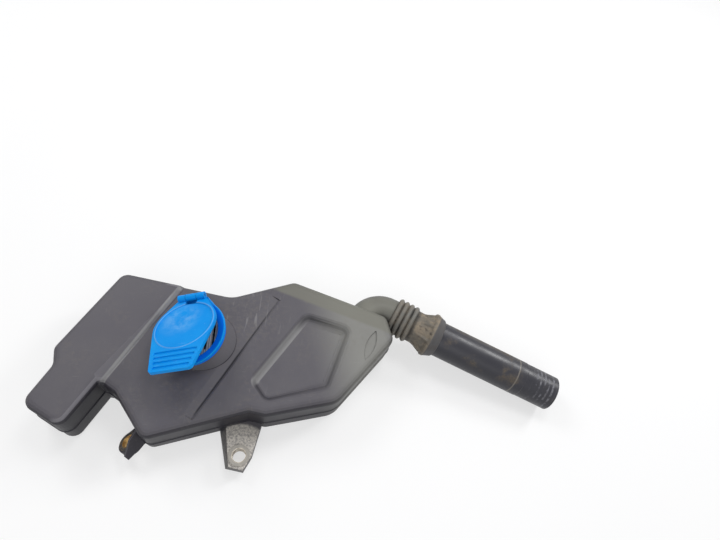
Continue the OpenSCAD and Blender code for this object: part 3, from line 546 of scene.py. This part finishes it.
def makePipeMaterial():
    look = pipeLook
    material, tree, shader = newMaterial("pipePlastic")
    along = alongLine(tree, look["start"], look["direction"])
    patches = noiseField(tree, *look["patchNoise"])
    specks = noiseField(tree, *look["speckNoise"])
    dusty = pipeDust(tree, along, patches, specks)
    scuffed = pipeScuffs(tree, along)
    edge = times(tree, band(tree, along, look["edgeFrom"], look["edgeTo"]), look["edgeShare"])
    colour = tint(tree, dusty, look["plastic"], look["dust"])
    colour = tint(tree, scuffed, colour, look["scuff"])
    colour = tint(tree, edge, colour, look["edge"])
    wire(tree, colour, shader.inputs["Base Color"])
    dirtRough = times(tree, most(tree, dusty, scuffed), look["dustRough"])
    rough = combine(tree, "ADD", ramp(tree, patches, look["roughSpan"], look["roughness"]), dirtRough)
    wire(tree, rough, shader.inputs["Roughness"])
    shader.inputs["Specular IOR Level"].default_value = look["specular"]
    bends = noiseField(tree, *look["bendNoise"])
    grain(tree, shader, [(bends, look["bendBump"]), (specks, look["speckBump"])])
    return material


def paint(piece, material):
    piece.data.materials.clear()
    piece.data.materials.append(material)


paint(nodes["tank_shell"], makeTankMaterial())
nodes["tank_shell"].data.set_sharp_from_angle(angle=math.radians(tankLook["sharpAngle"]))
paint(nodes["cap_lid"], makeCapMaterial("lidPlastic", lidMarks))
paint(nodes["cap_base"], makeCapMaterial("capBasePlastic", baseInsideShade))
paint(nodes["filler_strainer"], makeStrainerMaterial())
paint(nodes["front_sleeve"], makeSteelMaterial("sleeveSteel", "front"))
paint(nodes["left_sleeve"], makeSteelMaterial("sleeveZinc", "left"))
paint(nodes["hinge_pin"], makeSteelMaterial("pinSteel", "pin"))
paint(nodes["lid_seal"], makeSealMaterial())
paint(nodes["down_pipe"], makePipeMaterial())
print("materials done")


# Rubber boot: four folds over the spigot, a narrow neck, then the finned cuff that ends in a plain lip.
# Its stations are millimetres along the boot, its radii millimetres from the middle line.
bootLook = {
    "start": (0.2106, 0.0612, 0.037), "heading": (0.888617, -0.458650, 0.0),
    "bendAt": 46.0, "bendWidth": 16.0,
    "foldFrom": 3.5, "foldPitch": 6.4, "folds": 4, "foldRound": 0.7, "root": 18.6, "crest": 21.8,
    "neckAt": 35.5, "cuffRise": 3.6, "beadAt": 50.3, "beadTo": 52.6, "beadSlope": 3.4, "bead": 25.4,
    "lip": 21.9, "lipCurve": 0.8, "lipRound": 0.7, "lipRoundFrom": 60.7, "cuffEnd": 61.5,
    "fins": 8, "finRadius": 22.0, "finHalf": 1.6,
    "spigotInner": 17.15, "spigotEnd": 9.2, "throat": 17.0, "hollowFrom": 20.0, "pipeInner": 20.2,
    "around": 144, "outerStep": 0.5, "innerCuff": (56.0, 50.0, 46.05, 45.95, 42.0, 38.0),
    "innerFoldsFrom": 35.0, "innerStep": 0.8, "innerSteps": 32, "seatStep": 0.1, "blendFrom": 9,
}


def smooth(low, high, value):
    t = min(max((value - low) / (high - low), 0.0), 1.0)
    return t * t * (3 - 2 * t)


def bootOuter(s):
    look = bootLook
    foldTo = look["foldFrom"] + look["foldPitch"] * look["folds"]
    if s < foldTo:
        u = ((s - look["foldFrom"]) / look["foldPitch"]) % 1.0
        return look["root"] + (look["crest"] - look["root"]) * math.sin(math.pi * u) ** look["foldRound"]
    if s < look["neckAt"]:
        return look["root"]
    climb = min((s - look["neckAt"]) / (look["beadAt"] - look["neckAt"]), 1.0)
    rise = look["root"] + look["cuffRise"] * climb
    bead = rise + (look["bead"] - rise) * smooth(look["beadAt"] - look["beadSlope"], look["beadAt"], s)
    fall = min(max((s - look["beadTo"]) / (look["cuffEnd"] - look["beadTo"]), 0.0), 1.0)
    rounded = look["lipRound"] * smooth(look["lipRoundFrom"], look["cuffEnd"], s)
    return bead - (look["bead"] - look["lip"]) * fall ** look["lipCurve"] - rounded


def bootFin(s, angle):
    look = bootLook
    if not look["neckAt"] < s < look["beadAt"]:
        return 0.0
    turns = angle / math.tau * look["fins"]
    off = abs(turns - round(turns)) / look["fins"] * math.tau * look["finRadius"]
    if off >= look["finHalf"]:
        return 0.0
    share = (s - look["neckAt"]) / (look["beadAt"] - look["neckAt"])
    return look["root"] + (look["bead"] - look["root"]) * share


def bootInner(s):
    look = bootLook
    if s <= look["spigotEnd"]:
        return look["spigotInner"]
    if s < look["neckAt"]:
        return look["throat"] + max(0.0, bootOuter(s) - look["hollowFrom"])
    if s < look["bendAt"]:
        return look["throat"]
    return look["pipeInner"]


def bootStations():
    look = bootLook
    steps = round((look["cuffEnd"] - look["foldFrom"]) / look["outerStep"])
    outer = [look["foldFrom"] + k * look["outerStep"] for k in range(steps + 1)]
    inner = [look["cuffEnd"], *look["innerCuff"]]
    inner += [look["innerFoldsFrom"] - k * look["innerStep"] for k in range(look["innerSteps"])]
    inner += [look["spigotEnd"] + look["seatStep"], look["spigotEnd"], look["foldFrom"]]
    return [(s, True) for s in outer] + [(s, False) for s in inner]


def makeBoot():
    look = bootLook
    heading = Vector(look["heading"])
    pipeWay = Vector(pipeLook["direction"])
    start = Vector(look["start"]) * perMetre
    bend = start + heading * look["bendAt"]
    mesh = bmesh.new()
    rings = []
    for s, isOuter in bootStations():
        share = smooth(look["bendAt"] - look["bendWidth"] / 2, look["bendAt"] + look["bendWidth"] / 2, s)
        centre = (start + heading * s).lerp(bend + pipeWay * (s - look["bendAt"]), share)
        way = heading.lerp(pipeWay, share).normalized()
        across = way.cross(Vector(upWay)).normalized()
        over = across.cross(way)
        ring = []
        for k in range(look["around"]):
            angle = math.tau * k / look["around"]
            radius = max(bootOuter(s), bootFin(s, angle)) if isOuter else bootInner(s)
            spot = centre + (across * math.cos(angle) + over * math.sin(angle)) * radius
            ring.append(mesh.verts.new(spot / perMetre))
        rings.append(ring)
    # each ring joins the next, and the last one joins the first
    for first, second in zip(rings, rings[1:] + rings[:1]):
        for k in range(look["around"]):
            after = (k + 1) % look["around"]
            mesh.faces.new((first[k], first[after], second[after], second[k]))
    bmesh.ops.recalc_face_normals(mesh, faces=mesh.faces)
    data = bpy.data.meshes.new("rubberBoot")
    mesh.to_mesh(data)
    mesh.free()
    data.polygons.foreach_set("use_smooth", [True] * len(data.polygons))
    boot = bpy.data.objects.new("rubberBoot", data)
    scene.collection.objects.link(boot)
    data.materials.append(makeRubberMaterial(look["start"], look["heading"]))
    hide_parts("bellows")
    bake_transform(boot)


makeBoot()
print("boot done")


# Camera of the photograph, in the part's own frame
cameraLook = {
    "place": (0.0867, -0.1939, 0.5961), "right": (0.9876, 0.0, 0.1573), "up": (-0.0754, 0.8776, 0.4735),
    "lens": 27.0, "sensor": 36.0, "nearest": 0.01, "farthest": 50.0,
}


def makeCamera():
    look = cameraLook
    data = bpy.data.cameras.new("photoCamera")
    data.sensor_width = look["sensor"]
    data.sensor_fit = "HORIZONTAL"
    data.lens = look["lens"]
    data.clip_start = look["nearest"]
    data.clip_end = look["farthest"]
    camera = bpy.data.objects.new("photoCamera", data)
    scene.collection.objects.link(camera)
    right = Vector(look["right"]).normalized()
    up = Vector(look["up"]).normalized()
    turn = Matrix((right, up, right.cross(up))).transposed()
    camera.matrix_world = Matrix.Translation(look["place"]) @ turn.to_4x4()
    scene.camera = camera


makeCamera()
print("camera done")


# White paper floor, a sky that dims towards the horizon, three soft lamps behind and one in front
stageLook = {
    "floor": (0.93, 0.93, 0.93),
    "floorDim": (0.915, 0.915, 0.92),
    "white": (1, 1, 1, 1),
    "floorHalf": 6.0, "floorDrop": 0.0005, "floorRoughness": 0.7, "floorSpecular": 0.2,
    "cloudNoise": (3, 2), "cloudSpan": (0.3, 0.7), "paper": 0.6,
    "skyColour": (0.98, 0.985, 1.0, 1), "sky": 0.42, "skyHeight": (0.02, 0.55), "skyShares": (0.35, 1.0),
    "aim": (0.05, 0.0, 0.05),
    # name, place, size and power
    "lamps": [("leftLamp", (-0.60, 0.75, 1.10), 0.6, 6.2),
              ("topLamp", (0.38, 0.45, 1.25), 0.4, 3.6),
              ("rightLamp", (1.11, 0.60, 0.88), 0.35, 6.6),
              ("frontLamp", (0.0, -0.75, 0.85), 0.8, 2.6)],
}


def looking(tree):
    path = addNode(tree, "ShaderNodeLightPath")
    seen = most(tree, path.outputs["Is Camera Ray"], path.outputs["Is Glossy Ray"])
    return most(tree, seen, path.outputs["Is Transmission Ray"])


def makeFloor():
    look = stageLook
    half = look["floorHalf"]
    corners = [(-half, -half, 0), (half, -half, 0), (half, half, 0), (-half, half, 0)]
    mesh = bpy.data.meshes.new("studioFloor")
    mesh.from_pydata(corners, [], [(0, 1, 2, 3)])
    floor = bpy.data.objects.new("studioFloor", mesh)
    scene.collection.objects.link(floor)
    material, tree, shader = newMaterial("floorPaper")
    cloud = ramp(tree, noiseField(tree, *look["cloudNoise"]), look["cloudSpan"])
    wire(tree, tint(tree, cloud, look["floor"], look["floorDim"]), shader.inputs["Base Color"])
    shader.inputs["Roughness"].default_value = look["floorRoughness"]
    shader.inputs["Specular IOR Level"].default_value = look["floorSpecular"]
    glow = addNode(tree, "ShaderNodeEmission", {"Color": look["white"], "Strength": 1.0})
    blend = addNode(tree, "ShaderNodeMixShader")
    wire(tree, times(tree, looking(tree), look["paper"]), blend.inputs["Fac"])
    wire(tree, shader.outputs["BSDF"], blend.inputs[1])
    wire(tree, glow.outputs["Emission"], blend.inputs[2])
    wire(tree, blend.outputs["Shader"], tree.nodes["Material Output"].inputs["Surface"])
    mesh.materials.append(material)
    floor.location.z = -look["floorDrop"]


def makeLamp(name, place, size, power):
    data = bpy.data.lights.new(name, "AREA")
    data.shape = "DISK"
    data.size = size
    data.energy = power
    lamp = bpy.data.objects.new(name, data)
    scene.collection.objects.link(lamp)
    lamp.location = place
    lamp.rotation_mode = "QUATERNION"
    lamp.rotation_quaternion = (Vector(stageLook["aim"]) - Vector(place)).to_track_quat("-Z", "Y")


def makeSky():
    look = stageLook
    world = bpy.data.worlds.new("studioSky")
    scene.world = world
    world.use_nodes = True
    tree = world.node_tree
    background = tree.nodes["Background"]
    coords = addNode(tree, "ShaderNodeTexCoord")
    split = addNode(tree, "ShaderNodeSeparateXYZ")
    wire(tree, coords.outputs["Generated"], split.inputs["Vector"])
    height = ramp(tree, split.outputs["Z"], look["skyHeight"], look["skyShares"])
    seen = looking(tree)
    shining = times(tree, height, look["sky"], flip(tree, seen))  # what lights the object
    wire(tree, combine(tree, "ADD", shining, seen), background.inputs["Strength"])
    background.inputs["Color"].default_value = look["skyColour"]


makeFloor()
makeSky()
for lampName, lampPlace, lampSize, lampPower in stageLook["lamps"]:
    makeLamp(lampName, lampPlace, lampSize, lampPower)
scene.view_settings.view_transform = "Standard"
print("stage done")
